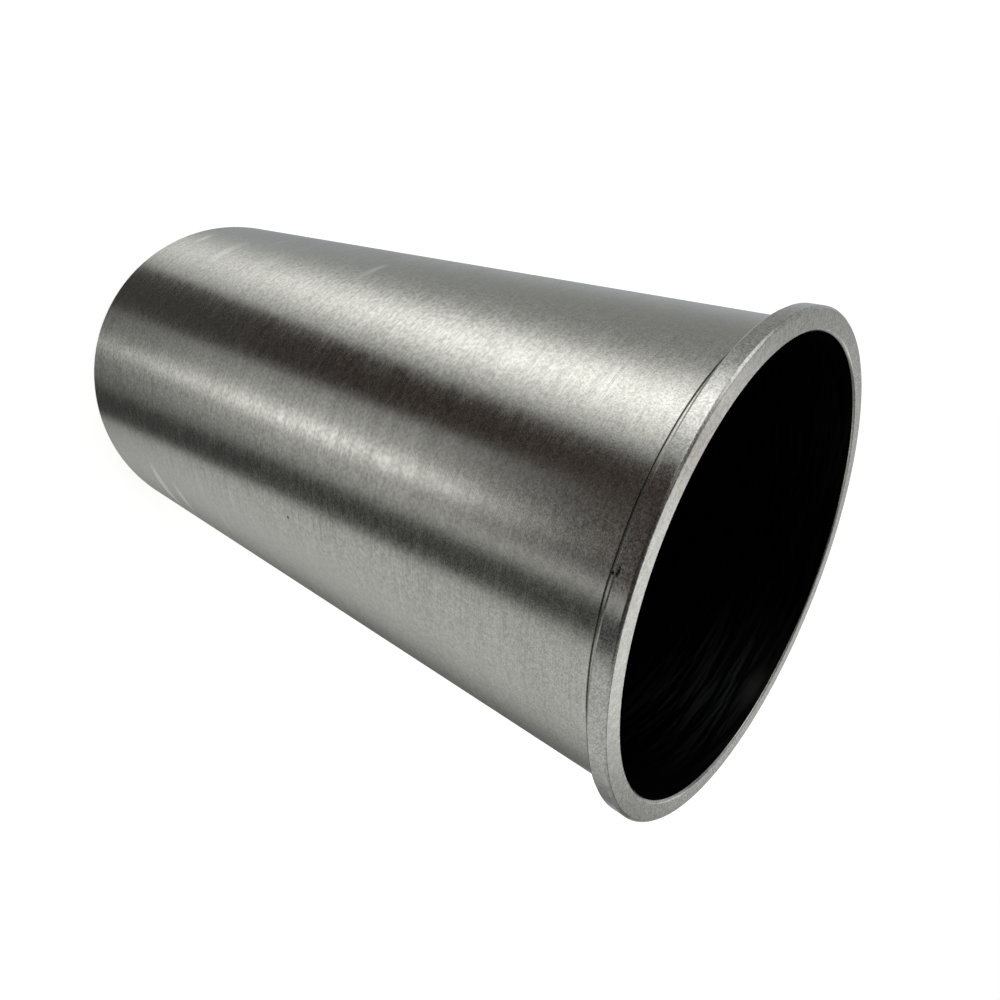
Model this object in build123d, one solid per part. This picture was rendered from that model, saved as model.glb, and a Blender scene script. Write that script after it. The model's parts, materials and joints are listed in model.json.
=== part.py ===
from build123d import *
import os

# A dry cylinder liner: a thin iron sleeve that is pressed into an engine block and hangs there by its flange.
# It is one piece, cast as a tube and turned, ground and honed to size, so it is one outline turned round the
# bore's axis. It stands on its skirt end, as it does in the engine: +Z points up the bore to the flange.
# Lengths are in millimetres.

# Sleeve
bore_radius = 56.0
wall = 1.6
liner_length = 222.0

# Flange at the top, which seats in the block's counterbore. The bevel on its back edge is steep, as a lead-in is.
flange_reach = 3.6
flange_thickness = 4.3
flange_top_bevel = 0.55
back_bevel_height = 0.52
back_bevel_depth = 0.3

# Relief groove, ground right under the flange so that its corner seats square
relief_width = 2.6
relief_depth = 0.4
relief_corner = 0.12

# Mouths of the bore, and the long shallow lead-in that starts the sleeve in the block
top_mouth_bevel = 0.5
skirt_mouth_bevel = 0.5
lead_in_length = 1.2
lead_in_depth = 0.4

barrel_radius = bore_radius + wall
flange_radius = barrel_radius + flange_reach
relief_radius = barrel_radius - relief_depth
seat_height = liner_length - flange_thickness
relief_foot = seat_height - relief_width


def half_section():
    """The outline of one side of the wall, in the plane of the bore's axis, from the skirt end round to it again."""
    skirt_end = [
        (bore_radius, skirt_mouth_bevel),
        (bore_radius + skirt_mouth_bevel, 0),
        (barrel_radius - lead_in_depth, 0),
        (barrel_radius, lead_in_length),
    ]
    relief = [
        (barrel_radius, relief_foot),
        (relief_radius, relief_foot),
        (relief_radius, seat_height),
    ]
    flange = [
        (flange_radius - back_bevel_depth, seat_height),
        (flange_radius, seat_height + back_bevel_height),
        (flange_radius, liner_length - flange_top_bevel),
        (flange_radius - flange_top_bevel, liner_length),
        (bore_radius + top_mouth_bevel, liner_length),
        (bore_radius, liner_length - top_mouth_bevel),
    ]
    with BuildSketch(Plane.XZ) as section:
        with BuildLine():
            Polyline(*skirt_end, *relief, *flange, close=True)
        make_face()
        floor_ends = [corner for corner in section.vertices() if on_relief_floor(corner)]
        fillet(floor_ends, radius=relief_corner)
    return section.sketch


def on_relief_floor(corner):
    """Whether a corner of the outline is one of the two at the bottom of the relief groove."""
    in_groove = relief_foot - relief_corner < corner.Z < seat_height + relief_corner
    return in_groove and corner.X < barrel_radius - relief_depth / 2


def cylinder_liner():
    """The whole liner, turned from its half section."""
    return revolve(half_section(), axis=Axis.Z)


os.makedirs("parts", exist_ok=True)
export_step(cylinder_liner(), "parts/cylinder_liner.step")
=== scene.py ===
# %% [markdown]
# # A dry cylinder liner, ground and honed
# A cylinder liner is the iron sleeve that a piston runs in. This is a dry liner: a thin tube, pressed into
# the engine block, that hangs in a step of the block by the flange at its top. It is cast as a tube,
# turned, ground outside and honed inside, so everything that the eye reads on it is a trace of turning
# round one axis.
#
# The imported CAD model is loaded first. It stands on its skirt end with its axis along Z, in metres, and it
# fixes every size. The CAD mesh has flat facets, which show in a ground surface as soon as it mirrors a
# lamp, so one finer turned mesh of the same sizes takes its place here.

# %% Load the frame
import json
from collections import namedtuple
from math import cos, degrees, radians, sin

import bmesh
import bpy
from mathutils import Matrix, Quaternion, Vector


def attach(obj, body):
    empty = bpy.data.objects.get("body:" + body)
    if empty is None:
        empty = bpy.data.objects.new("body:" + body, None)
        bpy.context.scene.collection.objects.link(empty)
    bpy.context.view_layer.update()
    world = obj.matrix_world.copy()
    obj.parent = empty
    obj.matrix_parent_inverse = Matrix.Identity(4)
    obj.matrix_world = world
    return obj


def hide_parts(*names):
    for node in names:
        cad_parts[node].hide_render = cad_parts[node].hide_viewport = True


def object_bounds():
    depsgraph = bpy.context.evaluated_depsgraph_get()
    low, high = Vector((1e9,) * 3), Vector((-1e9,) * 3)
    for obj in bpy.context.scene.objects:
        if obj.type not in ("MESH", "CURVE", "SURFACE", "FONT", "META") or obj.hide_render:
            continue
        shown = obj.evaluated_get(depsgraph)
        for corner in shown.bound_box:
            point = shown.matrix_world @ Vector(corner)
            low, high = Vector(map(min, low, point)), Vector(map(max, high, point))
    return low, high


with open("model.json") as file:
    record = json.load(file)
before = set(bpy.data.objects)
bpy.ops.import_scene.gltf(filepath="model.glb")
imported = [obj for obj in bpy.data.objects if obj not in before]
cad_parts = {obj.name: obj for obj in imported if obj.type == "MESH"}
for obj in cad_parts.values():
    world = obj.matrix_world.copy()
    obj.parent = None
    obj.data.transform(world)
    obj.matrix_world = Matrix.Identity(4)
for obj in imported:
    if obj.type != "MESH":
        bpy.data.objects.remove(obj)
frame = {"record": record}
cad_low, cad_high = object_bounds()
print("CAD box, mm:", [round(1000 * side, 2) for side in cad_high - cad_low])

# %% [markdown]
# # Sizes
# The large sizes come from the frame: the box gives the flange and the length, and the record's mounts give
# the bore, the barrel and the flange's seat. Only the small breaks, which the mounts don't name, are
# written here. They are the ones that a grinder's drawing would give.

# %% Sizes of the liner
MM = 0.001
mounts = {mount["name"]: mount for mount in frame["record"]["mounts"]}

bore_radius = mounts["bore"]["dims"]["r_mm"] * MM
barrel_radius = mounts["barrel"]["dims"]["r_mm"] * MM
flange_radius = (cad_high.x - cad_low.x) / 2
foot = cad_low.z
face_height = cad_high.z
seat_height = mounts["flange_seat"]["pos_m"][2]

relief_width = 2.6 * MM
relief_depth = 0.4 * MM
relief_corner = 0.12 * MM
flange_top_bevel = 0.55 * MM
back_bevel_height = 0.52 * MM
back_bevel_depth = 0.3 * MM
mouth_bevel = 0.5 * MM
lead_in_length = 1.2 * MM
lead_in_depth = 0.4 * MM

relief_foot = seat_height - relief_width
relief_radius = barrel_radius - relief_depth
for radius in (bore_radius, barrel_radius, flange_radius):
    print("radius of the bore, barrel or flange:", round(1000 * radius, 2), "mm")

# %% [markdown]
# # The turned form
# On the lathe the liner's outline is the path of a tool, so the model is made the same way. A few points,
# joined into one closed outline of the wall, are turned once round the axis. The last step of the turn is
# merged with the first, which leaves no seam. 720 steps make each facet half a degree, too small to see
# even where a bright lamp slides over the barrel.

# %% Turn the outline round the axis
STEPS = 720
LENGTHS_OF_BARREL = 10
LONG = 100 * MM
DOUBLED = 0.001 * MM
KNOCK_TOP = 1.6 * MM

outline = [
    (bore_radius, foot + mouth_bevel),
    (bore_radius + mouth_bevel, foot),
    (barrel_radius - lead_in_depth, foot),
    (barrel_radius, foot + lead_in_length),
    (barrel_radius, relief_foot),
    (relief_radius, relief_foot),
    (relief_radius, seat_height),
    (flange_radius - back_bevel_depth, seat_height),
    (flange_radius, seat_height + back_bevel_height),
    (flange_radius, seat_height + KNOCK_TOP),
    (flange_radius, face_height - flange_top_bevel),
    (flange_radius - flange_top_bevel, face_height),
    (bore_radius + mouth_bevel, face_height),
    (bore_radius, face_height - mouth_bevel),
]
form = bmesh.new()
corners = [form.verts.new((radius, 0, height)) for radius, height in outline]
sides = [form.edges.new((corner, corners[i - 1])) for i, corner in enumerate(corners)]
long_sides = [side for side in sides if side.calc_length() > LONG]
bmesh.ops.subdivide_edges(form, edges=long_sides, cuts=LENGTHS_OF_BARREL - 1)
bmesh.ops.spin(
    form,
    geom=form.verts[:] + form.edges[:],
    cent=(0, 0, 0),
    axis=(0, 0, 1),
    dvec=(0, 0, 0),
    angle=radians(360),
    steps=STEPS,
    use_merge=True,
)
bmesh.ops.remove_doubles(form, verts=form.verts, dist=DOUBLED)
bmesh.ops.recalc_face_normals(form, faces=form.faces)
print("turned form:", len(form.verts), "points,", len(form.faces), "faces")

# %% [markdown]
# # Broken edges
# No edge on a machined part is sharp: each is broken with a stone, so that it neither cuts the fitter nor
# chips. The thin light that runs along a real rim comes from that break. Here every ring where the outline
# turns gets a narrow round bevel. The two corners at the bottom of the relief groove get the round that the
# grinding wheel leaves. Only the blunt edge between the flange and the steep bevel on its back is left
# crisp, as the grinding wheel left it, so it is marked sharp.

# %% Round the groove's corners and break the edges
EDGE_BREAK = 0.09 * MM
SHARP_TURN = radians(10)
SLACK = 0.01 * MM


def rings_where(test):
    """The ring edges at which the outline turns, for which the test on radius and height holds."""
    found = []
    for edge in form.edges:
        if edge.is_manifold and abs(edge.calc_face_angle(0)) > SHARP_TURN:
            middle = (edge.verts[0].co + edge.verts[1].co) / 2
            if test(middle.xy.length, middle.z):
                found.append(edge)
    return found


def bevel_rings(edges, offset, segments):
    bmesh.ops.bevel(
        form,
        geom=edges,
        offset=offset,
        offset_type="OFFSET",
        segments=segments,
        profile=0.5,
        affect="EDGES",
        material=-1,
        clamp_overlap=True,
    )


def on_groove_floor(radius, height):
    at_floor = abs(radius - relief_radius) < SLACK
    return at_floor and relief_foot - SLACK < height < seat_height + SLACK


def over_back_bevel(radius, height):
    return radius > flange_radius - SLACK and height < seat_height + back_bevel_height + SLACK


def elsewhere(radius, height):
    in_groove = relief_foot + SLACK < height < seat_height + SLACK and radius < barrel_radius
    at_wheel_round = abs(height - relief_foot) < SLACK and radius < barrel_radius - 2 * SLACK
    return not (in_groove or at_wheel_round or over_back_bevel(radius, height))


bevel_rings(rings_where(on_groove_floor), relief_corner, 3)
bevel_rings(rings_where(elsewhere), EDGE_BREAK, 2)
for edge in rings_where(over_back_bevel):
    edge.smooth = False
print("with broken edges:", len(form.faces), "faces")

# %% [markdown]
# # One small knock
# The liner in the photograph has been handled: its flange carries one small knock near the back edge, a few
# dents, and a pit lies next to it in the groove. The few faces round the knock are cut finer, and then their
# points are pushed in along the radius. The shade in the dents and a highlight on a ridge beside them are
# painted into the flange's colour further down.

# %% Dent the flange's edge
DENTS = [
    # angle in degrees, drop below the face, half length round the rim, half width along it and depth, in mm
    (6.80, 3.40, 0.19, 0.18, 0.05),
    (7.40, 3.30, 0.32, 0.26, 0.08),
    (7.90, 3.46, 0.36, 0.28, 0.07),
]
PAINTED_RIDGE_HIGHLIGHTS = [
    # angle, drop, half length and half width of each painted highlight beside the dents
    (7.70, 4.15, 0.60, 0.24),
    (8.35, 4.10, 0.22, 0.22),
]
KNOCK = (7.65, 3.90)
GROOVE_PIT = (9.0, 6.42, 0.52, 0.5)
KNOCK_REACH = 2.2 * MM
KNOCK_CUTS = 5
FLANGE_SKIN = 0.4 * MM


def at(angle, radius, drop):
    """A point of the liner, from its angle, which is 0 towards the camera, and its drop below the face."""
    return Vector((radius * sin(angle), -radius * cos(angle), face_height - drop))


def rim_place(angle, drop):
    return at(radians(angle), flange_radius, drop * MM)


knock = rim_place(*KNOCK)
near_knock = []
for edge in form.edges:
    middle = (edge.verts[0].co + edge.verts[1].co) / 2
    if (middle - knock).length < KNOCK_REACH:
        near_knock.append(edge)
bmesh.ops.subdivide_edges(form, edges=near_knock, cuts=KNOCK_CUTS, use_grid_fill=True)
pushed = 0
for point in form.verts:
    if (point.co - knock).length > KNOCK_REACH or point.co.xy.length < flange_radius - FLANGE_SKIN:
        continue
    push = 0
    for angle, drop, half_length, half_width, depth in DENTS:
        away = point.co - rim_place(angle, drop)
        reach = (away.x / (half_length * MM)) ** 2 + (away.z / (half_width * MM)) ** 2
        push = max(push, depth * MM * (1 - reach))
    point.co.xy *= 1 - push / point.co.xy.length
    pushed += push > 0
print("points pushed in by the knock:", pushed)

# %% [markdown]
# # Node trees as plain sums
# A finish is a sum of small things: a tone, streaks, grain, marks. Written as nodes it is hard to read, so
# two small classes let it be written as Python. `Number` wraps a socket that varies over the surface, and
# arithmetic on it adds Math nodes. `Tree.node` makes every other kind of node.

# %% Helpers for node trees


class Number:
    """A number that varies over a surface. Arithmetic on it adds Math nodes to its tree."""

    def __init__(self, tree, socket):
        self.tree, self.socket = tree, socket

    def maths(self, operation, *values):
        return self.tree.node("Math", {"operation": operation}, dict(enumerate(values)))

    def __add__(self, other):
        return self.maths("ADD", self, other)

    def __sub__(self, other):
        return self.maths("SUBTRACT", self, other)

    def __rsub__(self, other):
        return self.maths("SUBTRACT", other, self)

    def __mul__(self, other):
        return self.maths("MULTIPLY", self, other)

    def __truediv__(self, other):
        return self.maths("DIVIDE", self, other)

    def __pow__(self, other):
        return self.maths("POWER", self, other)

    def __abs__(self):
        return self.maths("ABSOLUTE", self)

    def __neg__(self):
        return self.maths("MULTIPLY", self, -1.0)

    __radd__ = __add__
    __rmul__ = __mul__


class Tree:
    """A node tree that is being written."""

    def __init__(self, node_tree):
        self.nodes, self.links = node_tree.nodes, node_tree.links
        self.nodes.clear()

    def node(self, kind, settings=None, sockets=None, output=0):
        """Adds a node: first its settings, and then the values or links of its sockets."""
        made = self.nodes.new("ShaderNode" + kind)
        for name, value in (settings or {}).items():
            setattr(made, name, value)
        for name, value in (sockets or {}).items():
            if isinstance(value, Number):
                self.links.new(value.socket, made.inputs[name])
            else:
                made.inputs[name].default_value = value
        return Number(self, made.outputs[output]) if made.outputs else None

    def step(self, value, start, end):
        """Goes smoothly from 0 at start to 1 at end, which may be the lower of the two."""
        limits = {"Value": value, "From Min": start, "From Max": end}
        return self.node("MapRange", {"interpolation_type": "SMOOTHSTEP"}, limits)

    def blend(self, colour, other, share):
        """A colour that goes over into the other by a share from 0 to 1."""
        factor, first, second, colour_result = 0, 6, 7, 2
        return self.node(
            "Mix", {"data_type": "RGBA"}, {factor: share, first: colour, second: other}, output=colour_result
        )

    def stretched(self, vector, scale):
        return self.node("Mapping", None, {"Vector": vector, "Scale": scale})

    def noise(self, vector, detail=2.0, roughness=0.5, scale=1.0):
        """Smooth noise round 0.5."""
        sockets = {"Vector": vector, "Scale": scale, "Detail": detail, "Roughness": roughness}
        return self.node("TexNoise", None, sockets)

    def cells(self, vector, size):
        """How far, in sizes, a place is from the nearest of many points, strewn about one size apart."""
        sockets = {"Vector": vector, "Scale": 1 / size}
        return self.node("TexVoronoi", {"feature": "F1"}, sockets, output="Distance")

    def near(self, coordinates, place, size):
        """1 at a place and 0 beyond a box-shaped size round it, with a soft fall between."""
        away = self.node("VectorMath", {"operation": "SUBTRACT"}, {0: coordinates, 1: place})
        share = self.node("VectorMath", {"operation": "DIVIDE"}, {0: away, 1: size})
        distance = self.node("VectorMath", {"operation": "LENGTH"}, {0: share}, output="Value")
        return 1 - self.step(distance, 0.0, 1.0)


def colour(red, green, blue):
    return (red, green, blue, 1.0)


# %% [markdown]
# # What every surface of the liner shares
# All of the surfaces are the same grey iron, so they share one start, which reads the object's own
# coordinates in metres and their height. They also share the streaks that turning leaves round the axis.
# These need no angle to be worked out: noise that is squeezed along Z and left wide in X and Y already runs
# round the liner. Each finish then ends in the same metal shader.

# %% A surface of grey iron


def iron_surface(name):
    """A new material, its tree, its coordinates and the height above the foot."""
    material = bpy.data.materials.new(name)
    material.use_nodes = True
    tree = Tree(material.node_tree)
    coordinates = tree.node("TexCoord", output="Object")
    height = tree.node("SeparateXYZ", None, {"Vector": coordinates}, output="Z")
    return material, tree, coordinates, height


def turned_streaks(tree, coordinates, length, thickness, detail=1.0):
    """Streaks round the axis, of about a length and a thickness in metres, as noise round 0.5."""
    return tree.noise(tree.stretched(coordinates, (1 / length, 1 / length, 1 / thickness)), detail)


def finish_surface(tree, base, roughness, relief, relief_height, anisotropy):
    """Ends a material with a metal shader. Anisotropy widens reflections across the turned lines."""
    bump = tree.node("Bump", None, {"Strength": 1.0, "Distance": relief_height, "Height": relief})
    shader = {
        "Base Color": base,
        "Metallic": 1.0,
        "Roughness": roughness,
        "Anisotropic": anisotropy,
        "Anisotropic Rotation": 0.25,
        "Normal": bump,
    }
    surface = tree.node("BsdfPrincipled", None, shader)
    tree.node("OutputMaterial", None, {"Surface": surface})


# %% [markdown]
# # Ground barrel
# The barrel is ground with a wheel as wide as a hand, while the liner turns. That leaves short, shallow
# streaks round it, a few millimetres long and some tenths wide, with finer lines between them. Close to the
# flange the iron's open grain shows as dark pores. The sides are rubbed smoother than the rest. Handling
# has left soft wipe marks near the skirt, a few fine scratches, a small pit and one thin line round the
# barrel.

# %% Finish of the ground barrel
LINE_ANGLE = 3
LINE_DROP = 61.7 * MM
LINE_REACH = (22 * MM, 22 * MM, 9 * MM)
PORE_REACH = 85 * MM
PORE_SPACING = 0.55 * MM
SCRATCH_ANGLE = -24
SCRATCH_DROP = 23.6 * MM
SCRATCH_REACH = (9 * MM, 9 * MM, 1.8 * MM)
WIPE_MARKS = [
    # angle in degrees, drop in mm, half length round the barrel in mm, half width along it in mm, strength
    (52, 188.5, 13, 3.6, 1.8),
    (52, 175, 9, 3.0, 1.0),
    (31, 170, 8, 1.8, 0.5),
    (38, 152, 9, 3.0, 0.3),
    (36, 133, 9, 1.6, 0.5),
    (50, 146, 9, 1.8, 0.4),
    (-44, 117, 8, 2.2, 1.0),
    (-51, 175, 6, 1.5, 0.5),
    (-37, 186, 13, 3.5, 0.5),
    (-43, 210, 6, 1.8, 0.8),
]
BARREL_PIT = (31.7, 102.9, 0.65, 0.65)
PORE_EDGES = (0.10, 0.27)
GROUND_DARK, GROUND_PALE = colour(0.44, 0.436, 0.40), colour(0.70, 0.70, 0.66)
WIPED = colour(0.80, 0.82, 0.80)
PIT_BLACK = colour(0.02, 0.018, 0.015)


def ground_barrel():
    material, tree, coordinates, height = iron_surface("ground_barrel")
    drop = face_height - height
    near_flange = 1 - tree.step(drop, 0.0, PORE_REACH)
    across = tree.node("SeparateXYZ", None, {"Vector": coordinates}, output="X")
    rubbed_left = tree.step(-across, 0.55 * barrel_radius, 0.75 * barrel_radius)
    rubbed_right = tree.step(across, 0.4 * barrel_radius, 0.7 * barrel_radius) * (1 - near_flange)
    rubbed = 0.6 * rubbed_left + 0.55 * rubbed_right

    streaks = turned_streaks(tree, coordinates, 1.6 * MM, 0.3 * MM)
    strokes = turned_streaks(tree, coordinates, 2.2 * MM, 1.1 * MM)
    wisps = turned_streaks(tree, coordinates, 9 * MM, 2.5 * MM)
    lines = turned_streaks(tree, coordinates, 14 * MM, 0.3 * MM, 0.0)
    bands = turned_streaks(tree, coordinates, 80 * MM, 4 * MM)
    grain = tree.noise(coordinates, 1.0, 0.5, 1 / (0.38 * MM))
    mottling = tree.noise(coordinates, 0.0, 0.5, 1 / (0.9 * MM))
    clouds = tree.noise(coordinates, 1.0, 0.55, 1 / (22 * MM))
    pores = (1 - tree.step(tree.cells(coordinates, PORE_SPACING), *PORE_EDGES)) * (0.1 + 0.9 * near_flange)
    thin_line = 1 - tree.step(abs(drop - LINE_DROP), 0.05 * MM, 0.3 * MM)
    line_middle = at(radians(LINE_ANGLE), barrel_radius, LINE_DROP)
    thin_line = thin_line * tree.near(coordinates, line_middle, LINE_REACH)

    wipes = None
    for angle, mark_drop, half_length, half_width, strength in WIPE_MARKS:
        place = at(radians(angle), barrel_radius, mark_drop * MM)
        size = (half_length * MM, half_length * MM, half_width * MM)
        mark = tree.near(coordinates, place, size) * strength
        wipes = mark if wipes is None else wipes + mark
    wipes = wipes * (0.4 + 1.2 * clouds)

    scratches = tree.near(coordinates, at(radians(SCRATCH_ANGLE), barrel_radius, SCRATCH_DROP), SCRATCH_REACH)
    turned = 0.7 * (streaks - 0.5) + 0.8 * (strokes - 0.5) + (0.8 + 3.5 * scratches) * (lines - 0.5)
    turned = turned * (1 - 0.45 * near_flange) + 0.35 * (bands - 0.5)
    grained = 2.4 * (grain - 0.5) * (0.5 + 0.5 * near_flange)
    grained = grained + 1.4 * (mottling - 0.5) * (1 - 0.6 * near_flange)
    tone = 0.5 + (turned + grained) * (1 - rubbed) + 0.35 * thin_line - 0.7 * pores
    iron = tree.blend(GROUND_DARK, GROUND_PALE, tone)
    iron = tree.blend(iron, WIPED, wipes)
    for pit, radius in ((GROOVE_PIT, relief_radius), (BARREL_PIT, barrel_radius)):
        angle, pit_drop, half_length, half_width = pit
        place = at(radians(angle), radius, pit_drop * MM)
        shade = tree.near(coordinates, place, (half_length * MM, 1 * MM, half_width * MM))
        iron = tree.blend(iron, PIT_BLACK, 1.5 * shade)

    uneven = 0.12 * (streaks - 0.5) + 0.08 * (strokes - 0.5) + 0.14 * (wisps - 0.5)
    roughness = 0.24 + uneven * (1 - 0.5 * near_flange) + 0.10 * (grain - 0.5) + 0.10 * wipes
    relief = 0.6 * streaks + 0.7 * lines + grain * (0.8 + 0.7 * near_flange) - 1.2 * pores
    finish_surface(tree, iron, roughness, relief, 0.0024 * MM, 0.6)
    return material


# %% [markdown]
# # Turned flange
# The flange is turned and left a little coarser than the barrel. Its face, which the head gasket seals on,
# shows an even grain and faint rings, and its front edge is a plain bevel. By the knock, the shade in the
# dents is painted almost black into its colour, and a highlight beside them is painted bright.

# %% Finish of the turned flange
TURNED_DARK, TURNED_PALE = colour(0.44, 0.436, 0.41), colour(0.72, 0.72, 0.69)
# Painted highlight: the colour that stands for light caught on a ridge beside the dents.
KNOCK_PAINTED_HIGHLIGHT = colour(0.95, 0.94, 0.90)
# Painted shade: the colour that stands for the shade in the knock's dents.
DENT_PAINTED_SHADE = colour(0.05, 0.045, 0.035)


def turned_flange():
    material, tree, coordinates, _ = iron_surface("turned_flange")
    streaks = turned_streaks(tree, coordinates, 3 * MM, 0.3 * MM)
    grain = tree.noise(coordinates, 1.0, 0.6, 1 / (0.42 * MM))
    mottling = tree.noise(coordinates, 0.0, 0.5, 1 / (1.2 * MM))
    pores = 1 - tree.step(tree.cells(coordinates, PORE_SPACING), *PORE_EDGES)
    # The painted shade reaches a little past each dent.
    painted_dent_shade = None
    for angle, drop, half_length, half_width, _ in DENTS:
        size = (2.2 * half_length * MM, 2 * MM, 2.2 * half_width * MM)
        shade = tree.near(coordinates, rim_place(angle, drop), size)
        painted_dent_shade = shade if painted_dent_shade is None else painted_dent_shade + shade
    # Painted highlights beside the dents.
    painted_ridge_highlight = None
    for angle, drop, half_length, half_width in PAINTED_RIDGE_HIGHLIGHTS:
        size = (half_length * MM, 2 * MM, half_width * MM)
        shine = tree.near(coordinates, rim_place(angle, drop), size)
        painted_ridge_highlight = shine if painted_ridge_highlight is None else painted_ridge_highlight + shine

    tone = 0.5 + 0.6 * (streaks - 0.5) + 2.9 * (grain - 0.5) + 0.8 * (mottling - 0.5) - 0.6 * pores
    iron = tree.blend(TURNED_DARK, TURNED_PALE, tone)
    # Painted highlight: beside the dents the colour is made bright.
    iron = tree.blend(iron, KNOCK_PAINTED_HIGHLIGHT, 0.8 * painted_ridge_highlight)
    # Painted shade: in and round the dents the colour is made almost black.
    iron = tree.blend(iron, DENT_PAINTED_SHADE, 1.3 * painted_dent_shade)
    roughness = 0.23 + 0.18 * (grain - 0.5)
    relief = 0.6 * streaks + grain - 0.8 * pores
    finish_surface(tree, iron, roughness, relief, 0.003 * MM, 0.5)
    return material


# %% [markdown]
# # Groove's walls and the skirt end
# The walls of the groove right under the flange get a painted shade: their colour is made dark, for the shade
# that falls in the narrow groove under the flange. The skirt end's colour is darker than the barrel's too.

# %% Finish of the groove's walls and the skirt end
SKIRT_END_DARK, SKIRT_END_PALE = colour(0.16, 0.155, 0.14), colour(0.34, 0.335, 0.31)
# Painted shade for the walls of the groove.
GROOVE_PAINTED_SHADE = colour(0.16, 0.155, 0.145)


def dark_end_and_groove_shade():
    material, tree, coordinates, height = iron_surface("dark_end_and_groove_shade")
    streaks = turned_streaks(tree, coordinates, 5 * MM, 0.25 * MM)
    in_groove = tree.step(height, relief_foot - 1 * MM, relief_foot)
    iron = tree.blend(SKIRT_END_DARK, SKIRT_END_PALE, streaks)
    # Painted shade: in the groove the colour is made darker still.
    iron = tree.blend(iron, GROOVE_PAINTED_SHADE, in_groove)
    finish_surface(tree, iron, 0.28 + 0.1 * (streaks - 0.5), streaks, 0.003 * MM, 0.4)
    return material


# %% [markdown]
# # Honed bore
# The bore is honed with stones that turn and stroke at once, so its scratches cross each other and hold
# oil. They turn much faster than they stroke here, and the scratches run almost round the bore. Its colour is
# made almost black. Two sets of slanting lines are made from noise that is spread over the angle round the
# axis and the height, and stretched along each slant. In one patch the lines are painted brighter, a painted
# pool of lamp light falling into the bore, and a painted highlight glints near the rim.

# %% Finish of the honed bore
HONE_SLANTS = (radians(4), radians(-5))
HONE_SPACING = 1.3 * MM
HONE_LENGTH = 40 * MM
# A painted pool of lamp light in the bore, where the hone lines are painted brighter.
LIT_PATCH_ANGLE, LIT_PATCH_DROP, LIT_PATCH_REACH = radians(132), 17 * MM, (40 * MM, 40 * MM, 22 * MM)
# A painted highlight that glints near the bore's rim.
GLINT_ANGLE, GLINT_DROP, GLINT_REACH = radians(145), 3.8 * MM, (12 * MM, 12 * MM, 3.5 * MM)
# The bore's colour is made almost black, with faint blotches.
BORE_BLACK, BORE_DUSTY = colour(0.008, 0.008, 0.008), colour(0.020, 0.019, 0.018)
# Hone lines, and the painted highlight near the rim.
HONE_BRIGHT, GLINT_BRIGHT = colour(0.100, 0.113, 0.108), colour(0.075, 0.076, 0.075)


def honed_bore():
    material, tree, coordinates, height = iron_surface("honed_bore")
    across = tree.node("SeparateXYZ", None, {"Vector": coordinates}, output="X")
    back = tree.node("SeparateXYZ", None, {"Vector": coordinates}, output="Y")
    angle = tree.node("Math", {"operation": "ARCTAN2"}, {0: across, 1: -back})
    round_bore = angle * bore_radius
    strokes = None
    for slant in HONE_SLANTS:
        over = height * cos(slant) + round_bore * sin(slant)
        along = round_bore * cos(slant) - height * sin(slant)
        spread = tree.node("CombineXYZ", None, {"X": along / HONE_LENGTH, "Y": over / HONE_SPACING})
        stroke = tree.noise(spread, 1.0, 0.55)
        strokes = stroke if strokes is None else strokes + stroke
    strokes = strokes / 2
    painted_lit_patch = tree.near(coordinates, at(LIT_PATCH_ANGLE, bore_radius, LIT_PATCH_DROP), LIT_PATCH_REACH)
    glint = tree.near(coordinates, at(GLINT_ANGLE, bore_radius, GLINT_DROP), GLINT_REACH)
    bore_blotches = tree.noise(coordinates, 0.0, 0.5, 1 / (18 * MM))
    # Painted light: in one patch the hone lines are made brighter, for lamp light falling into the bore.
    shine = tree.step(strokes, 0.44, 0.62) * (0.15 + 1.3 * painted_lit_patch)
    black = tree.blend(BORE_BLACK, HONE_BRIGHT, shine)
    black = tree.blend(black, BORE_DUSTY, 0.5 * bore_blotches)
    # Painted highlight: a glint near the rim is laid into the colour.
    black = tree.blend(black, GLINT_BRIGHT, glint)
    finish_surface(tree, black, 0.38 + 0.15 * (strokes - 0.5), strokes, 0.004 * MM, 0.0)
    return material


# %% [markdown]
# # The finished liner
# The mesh gets its four finishes by where a face lies and which way it looks: the bore looks inwards, the
# barrel outwards below the groove, and so on. The flat faces are far larger than the edge breaks beside
# them, so normals weighted by area keep the flats flat and leave the shine to the breaks.

# %% Lay the finishes on and place the liner
BARREL, FLANGE, END_AND_GROOVE_SHADE, BORE = range(4)


def finish_at(face):
    middle = face.calc_center_median()
    radius = middle.xy.length
    outwards = face.normal.dot(middle.xy.to_3d()) / radius
    if outwards < -0.9:
        return BORE
    if middle.z < foot + 5 * SLACK:
        return END_AND_GROOVE_SHADE
    # The groove's walls take the finish with the painted shade; its floor takes the ground barrel's.
    if relief_foot - SLACK < middle.z < seat_height + SLACK and radius < barrel_radius - 5 * SLACK:
        return BARREL if outwards > 0.99 else END_AND_GROOVE_SHADE
    return BARREL if middle.z < relief_foot + 10 * SLACK and outwards > 0.2 else FLANGE


for face in form.faces:
    face.material_index = finish_at(face)
    face.smooth = True
liner_mesh = bpy.data.meshes.new("liner")
form.to_mesh(liner_mesh)
form.free()
for material in (ground_barrel(), turned_flange(), dark_end_and_groove_shade(), honed_bore()):
    liner_mesh.materials.append(material)
liner = bpy.data.objects.new("liner", liner_mesh)
bpy.context.scene.collection.objects.link(liner)
flats = liner.modifiers.new("flats_stay_flat", "WEIGHTED_NORMAL")
flats.mode = "FACE_AREA"
flats.keep_sharp = True
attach(liner, "root")
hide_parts("cylinder_liner")
liner_mesh.calc_loop_triangles()
print("liner:", len(liner_mesh.loop_triangles), "triangles")

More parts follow.
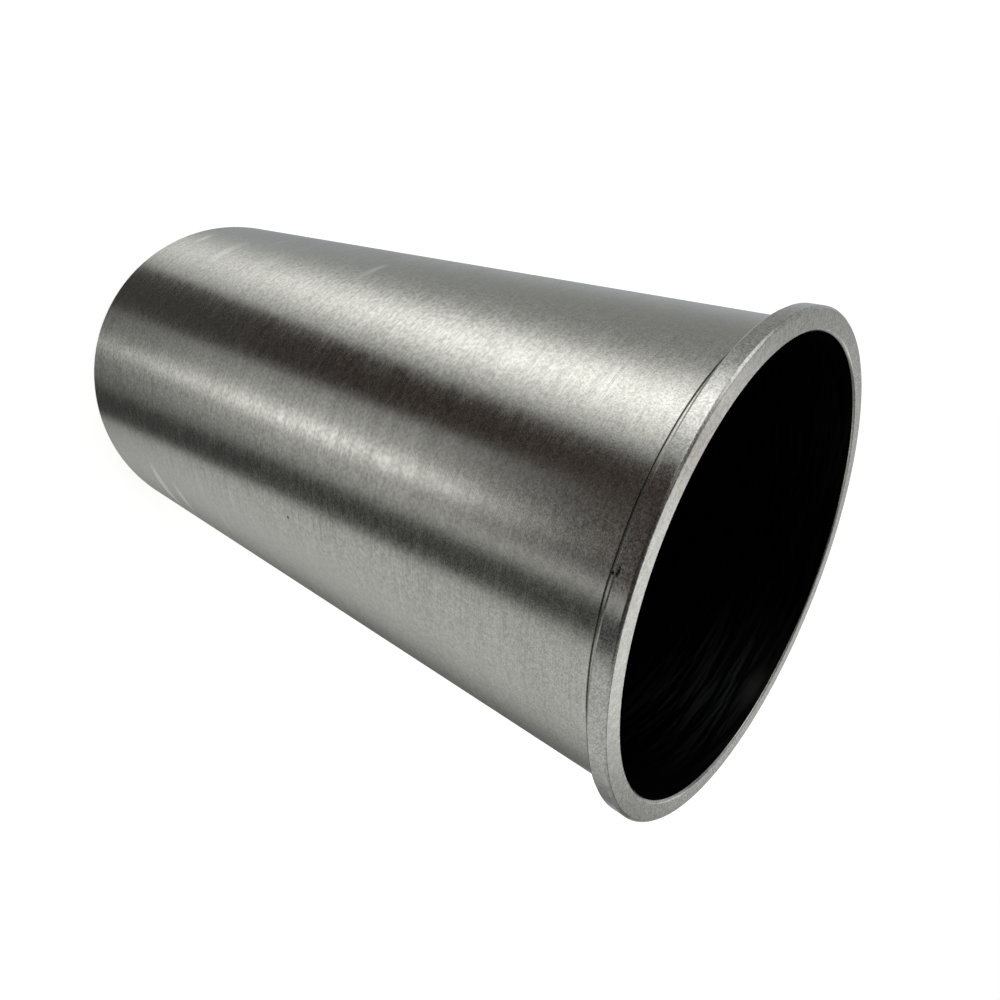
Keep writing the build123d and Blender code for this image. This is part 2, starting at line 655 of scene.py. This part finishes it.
# %% [markdown]
# # Camera
# The photograph looks at the liner from close by, past the flange and down the barrel. A wide lens near the
# flange gives the strong taper. The camera is also rolled, because the picture shows the liner lying on its
# side.

# %% Place the camera
EYE = Vector((0.00044, -0.16323, 0.27069))
AIM = Vector((0.00044, 0.0, 0.16239))
ROLL = radians(111.38)
FOCAL_SHARE = 0.6984
FRAME_SHIFT = (-0.0599, -0.0012)

camera_data = bpy.data.cameras.new("camera")
camera_data.lens = FOCAL_SHARE * camera_data.sensor_width
camera_data.shift_x, camera_data.shift_y = FRAME_SHIFT
camera_data.clip_start = 0.01
camera = bpy.data.objects.new("camera", camera_data)
camera.location = EYE
camera.rotation_mode = "QUATERNION"
camera.rotation_quaternion = (AIM - EYE).to_track_quat("-Z", "Y") @ Quaternion((0, 0, 1), ROLL)
bpy.context.scene.collection.objects.link(camera)
bpy.context.scene.camera = camera
print("camera is", round(1000 * (EYE - Vector((0, 0, face_height))).length), "mm from the middle of the face")

# %% [markdown]
# # Studio
# Ground metal has hardly any colour of its own. What the eye reads as its shape is the studio: pale walls,
# a wide soft lamp, and black cards hung to draw a dark line down the barrel. The world holds them as a
# painting round the liner, so that they look the same from any place on it. A direction is given by its
# azimuth, which is 0 towards the camera and grows towards +X, and by its drop, which is 0 at the horizon, 1
# at 45 degrees below it and less than 0 above it. A card may lean, which means that it shifts as it drops,
# and it may spread, because the real ones stood close by. Each card is laid over the ones before it.
#
# Rays from the camera see plain white paper in place of all that.

# %% Hang the lamps and cards round the liner
WARM = (1.0, 1.0, 0.985)
GREENISH = (0.98, 1.01, 1.0)
BROWN = (1.2, 0.94, 0.82)
ROSE = (1.07, 0.98, 0.94)
COOL = (0.955, 1.012, 1.06)
OPEN = 9
WALLS = 0.40
Card = namedtuple("Card", "name middle lean half_width spread softness level tint top bottom end_softness")
STUDIO_CARDS = [
    # name, azimuth, lean, half width, spread, softness, level, tint, from drop, to drop, those ends' softness
    Card("lower wall", 92, 0, 40, 0, 30, 0.61, WARM, -OPEN, 1.85, 1.8),
    Card("lower wall's far end", 148, 0, 27, 0, 52, 0.14, WARM, -OPEN, 1.85, 1.9),
    Card("upper wall", -108, 0, 26, 0, 40, 0.31, WARM, -OPEN, 1.3, 1.6),
    Card("upper wall's far end", -158, 0, 26, 0, 50, 0.50, COOL, -OPEN, OPEN, 1.0),
    Card("cool part of the upper wall", -126, 0, 15, 0, 20, 0.41, COOL, 1.2, OPEN, 0.6),
    Card("soft lamp", -54.5, -10.4, 12.5, 5.4, 40, 0.70, WARM, -OPEN, OPEN, 1.0),
    Card("its sharp edge", -44, 0, 8, 0, 8, 0.70, WARM, -OPEN, 0.85, 0.5),
    Card("its bright middle", -52, -11.5, 10.5, 0, 28, 1.75, WARM, -OPEN, 1.5, 1.5),
    Card("shaded side", 25, 0, 31, 0, 10, 0.23, WARM, -OPEN, OPEN, 1.0),
    Card("glow of the strip", 9, 0, 13, 0, 24, 0.68, WARM, 0.9, 1.95, 0.8),
    Card("strip of light", 17, 0, 4.3, 0, 15, 1.9, WARM, 0.85, 2.05, 0.7),
    Card("gap beside it", 31, 0, 4.2, 1.6, 12, 0.56, WARM, -OPEN, 1.95, 0.8),
    Card("wide black card", -16.0, -7.4, 6.2, 7.2, 6, 0.037, BROWN, -OPEN, OPEN, 1.0),
    Card("its far part", -16.0, -7.4, 6.2, 7.2, 6, 0.08, WARM, 1.85, OPEN, 0.6),
    Card("camera side", 2, 0, 25, 0, 8, 0.045, BROWN, -OPEN, 0.75, 0.3),
    Card("narrow black card", 38.3, 12.6, 6.8, 3.0, 7, 0.055, WARM, -OPEN, OPEN, 1.0),
    Card("pale card low at the lower side", 151, 0, 8, 0, 12, 0.55, WARM, 0.0, 0.38, 0.12),
    Card("dark floor below", 37, 0, 112, 0, 30, 0.05, WARM, 2.45, OPEN, 1.0),
    Card("dark floor in front", 24, 0, 36, 0, 20, 0.04, WARM, 2.25, OPEN, 0.9),
    Card("floor right below", 0, 0, 400, 0, 1, 0.07, WARM, 4.0, OPEN, 2.0),
    Card("lamp behind", 190, 0, 9, 0, 12, 0.8, WARM, 0.0, OPEN, 0.2),
    Card("card behind", 165, 0, 5, 0, 8, 0.10, WARM, 0.0, OPEN, 0.2),
    Card("back wall", 184, 0, 20, 0, 20, 0.46, WARM, -OPEN, -0.10, 0.15),
    Card("grey card at the lower side", 163, 0, 3, 0, 8, 0.36, WARM, -OPEN, -0.10, 0.15),
    Card("grey card behind", 204, 0, 6, 0, 12, 0.36, WARM, -OPEN, -0.10, 0.15),
    Card("high lamp behind", 178, 0, 18, 0, 12, 1.3, WARM, -0.62, -0.37, 0.10),
    Card("rose card behind", 189, 0, 4, 0, 8, 0.70, ROSE, -0.62, -0.40, 0.06),
    Card("dark card above and behind", -146, 0, 9, 0, 8, 0.14, WARM, -0.8, -0.42, 0.15),
    Card("window", -93, 0, 15, 0, 14, 1.25, WARM, -1.3, -0.46, 0.25),
    Card("grey ceiling at the lower side", 95, 0, 30, 0, 20, 0.36, WARM, -4.6, -1.15, 0.4),
    Card("dark ceiling", 1, 0, 75, 0, 16, 0.035, BROWN, -5.4, -0.95, 0.5),
    Card("pale patch in it", -40, 0, 10, 0, 16, 0.45, WARM, -2.4, -1.45, 0.4),
    Card("black card above", 48, 0, 22, 0, 10, 0.03, WARM, -1.5, -0.75, 0.25),
    Card("ceiling", 0, 0, 400, 0, 1, 0.5, WARM, -OPEN, -5.4, 0.8),
]
print("studio:", len(STUDIO_CARDS), "lamps and cards")

# %% [markdown]
# # Painting the studio in quarters
# Every ray that leaves the metal asks the world for its colour, so the world's tree is what the render
# spends its time on. Most cards are seen in one part of the studio only. Four paintings are made, in front
# and behind, above and below, and each holds just the cards that reach into it. Cycles then works out one
# of the four for a ray, because it skips the side of a Mix Shader that has no share. The picture stays the
# same.

# %% Find out which quarters a card reaches
LEAN_END = 2.6
LEVEL_SPLIT = -0.2
SIDE_SPLIT = 95


def reaches_level(card, above):
    """Whether a card falls in the studio's upper or lower part. The split lies a little above the horizon."""
    if above:
        return card.top - card.end_softness / 2 < LEVEL_SPLIT
    return card.bottom + card.end_softness / 2 > LEVEL_SPLIT


def reaches_side(card, above, front):
    """Whether a card falls in front or behind, at the least or the most that it leans."""
    middle, half = (0, SIDE_SPLIT) if front else (180, 180 - SIDE_SPLIT)
    for lean_drop in (0, 0 if above else LEAN_END):
        aside = abs((card.middle + card.lean * lean_drop - middle + 180) % 360 - 180)
        if aside < half + card.half_width + card.spread * lean_drop + card.softness / 2:
            return True
    return False


# %% [markdown]
# # Laying the cards over each other
# A card is soft at its edges. Its share of a direction is worked out across, from the azimuth, and then at
# its two ends, from the drop. A quarter starts as a plain wall, and each card that reaches it is blended over
# it by that share. The last mixes choose the quarter by a ray's direction, and the white paper for rays from
# the camera.

# %% Paint the quarters and join them
world = bpy.data.worlds.new("studio")
bpy.context.scene.world = world
world.use_nodes = True
studio = Tree(world.node_tree)
direction = studio.node("TexCoord", output="Generated")
east, north, up = (studio.node("SeparateXYZ", None, {"Vector": direction}, output=axis) for axis in "XYZ")
azimuth = studio.node("Math", {"operation": "ARCTAN2"}, {0: east, 1: -north}) * degrees(1)
drop = -up / (east * east + north * north + 0.0001) ** 0.5
lean_drop = studio.node("Clamp", None, {"Value": drop, "Min": 0.0, "Max": LEAN_END})


def card_share(card, above):
    """How much of a card is seen, from 0 to 1. Cards lean and spread only below the horizon."""
    offset = azimuth - card.middle
    if card.lean and not above:
        offset = offset - card.lean * lean_drop
    aside = abs(studio.node("Math", {"operation": "WRAP"}, {0: offset, 1: 180.0, 2: -180.0}))
    if card.spread and not above:
        aside = aside - card.spread * lean_drop
    share = studio.step(aside, card.half_width + card.softness / 2, card.half_width - card.softness / 2)
    half_soft = card.end_softness / 2
    if card.top > -OPEN:
        share = share * studio.step(drop, card.top - half_soft, card.top + half_soft)
    if card.bottom < OPEN and not (above and card.bottom - half_soft > LEVEL_SPLIT):
        share = share * studio.step(drop, card.bottom + half_soft, card.bottom - half_soft)
    return share


def painted(above, front):
    """One quarter of the studio, with the cards laid over each other in their order."""
    light = colour(*(WALLS * part for part in GREENISH))
    for card in STUDIO_CARDS:
        if reaches_level(card, above) and reaches_side(card, above, front):
            card_light = colour(*(card.level * part for part in card.tint))
            light = studio.blend(light, card_light, card_share(card, above))
    return studio.node("Background", None, {"Color": light, "Strength": 1.0})


is_above = studio.node("Math", {"operation": "LESS_THAN"}, {0: drop, 1: LEVEL_SPLIT})
is_front = studio.node("Math", {"operation": "LESS_THAN"}, {0: abs(azimuth), 1: SIDE_SPLIT})
behind, in_front = (
    studio.node("MixShader", None, {0: is_above, 1: painted(False, front), 2: painted(True, front)})
    for front in (False, True)
)
lamps = studio.node("MixShader", None, {0: is_front, 1: behind, 2: in_front})
white_paper = studio.node("Background", None, {"Color": colour(1.0, 1.0, 1.0), "Strength": 1.0})
seen_by_camera = studio.node("LightPath", output="Is Camera Ray")
surroundings = studio.node("MixShader", None, {0: seen_by_camera, 1: lamps, 2: white_paper})
studio.node("OutputWorld", None, {"Surface": surroundings})
print("studio tree:", len(world.node_tree.nodes), "nodes")

# %% [markdown]
# # Floor
# The liner stands on white paper. The paper is a plain pale disc that keeps a soft shadow. A little light
# of its own, for rays from the camera only, lifts it to white. The metal doesn't mirror it, because the
# painted studio already goes on below the horizon.

# %% Lay the floor
FLOOR_RADIUS = 3.0
PAPER_WHITE = 0.88
PAPER_GLOW = 0.8

sheet = bmesh.new()
bmesh.ops.create_circle(sheet, cap_ends=True, segments=96, radius=FLOOR_RADIUS)
bmesh.ops.translate(sheet, verts=sheet.verts, vec=(0, 0, foot))
floor_mesh = bpy.data.meshes.new("floor")
sheet.to_mesh(floor_mesh)
sheet.free()
paper = bpy.data.materials.new("white_paper")
paper.use_nodes = True
tree = Tree(paper.node_tree)
matt = tree.node("BsdfDiffuse", None, {"Color": colour(PAPER_WHITE, PAPER_WHITE, PAPER_WHITE)})
to_camera = tree.node("LightPath", output="Is Camera Ray")
glow = tree.node("Emission", None, {"Color": colour(1, 1, 1), "Strength": PAPER_GLOW * to_camera})
tree.node("OutputMaterial", None, {"Surface": tree.node("AddShader", None, {0: matt, 1: glow})})
floor_mesh.materials.append(paper)
floor = bpy.data.objects.new("floor", floor_mesh)
bpy.context.scene.collection.objects.link(floor)
floor.visible_glossy = False
print("floor: a disc", 2 * FLOOR_RADIUS, "m across")

# %% [markdown]
# # Colours and the end
# The view transform stays plain, so a colour renders as it is written. The dressed part may not grow
# past the CAD model.

# %% Finish
bpy.context.scene.view_settings.view_transform = "Standard"
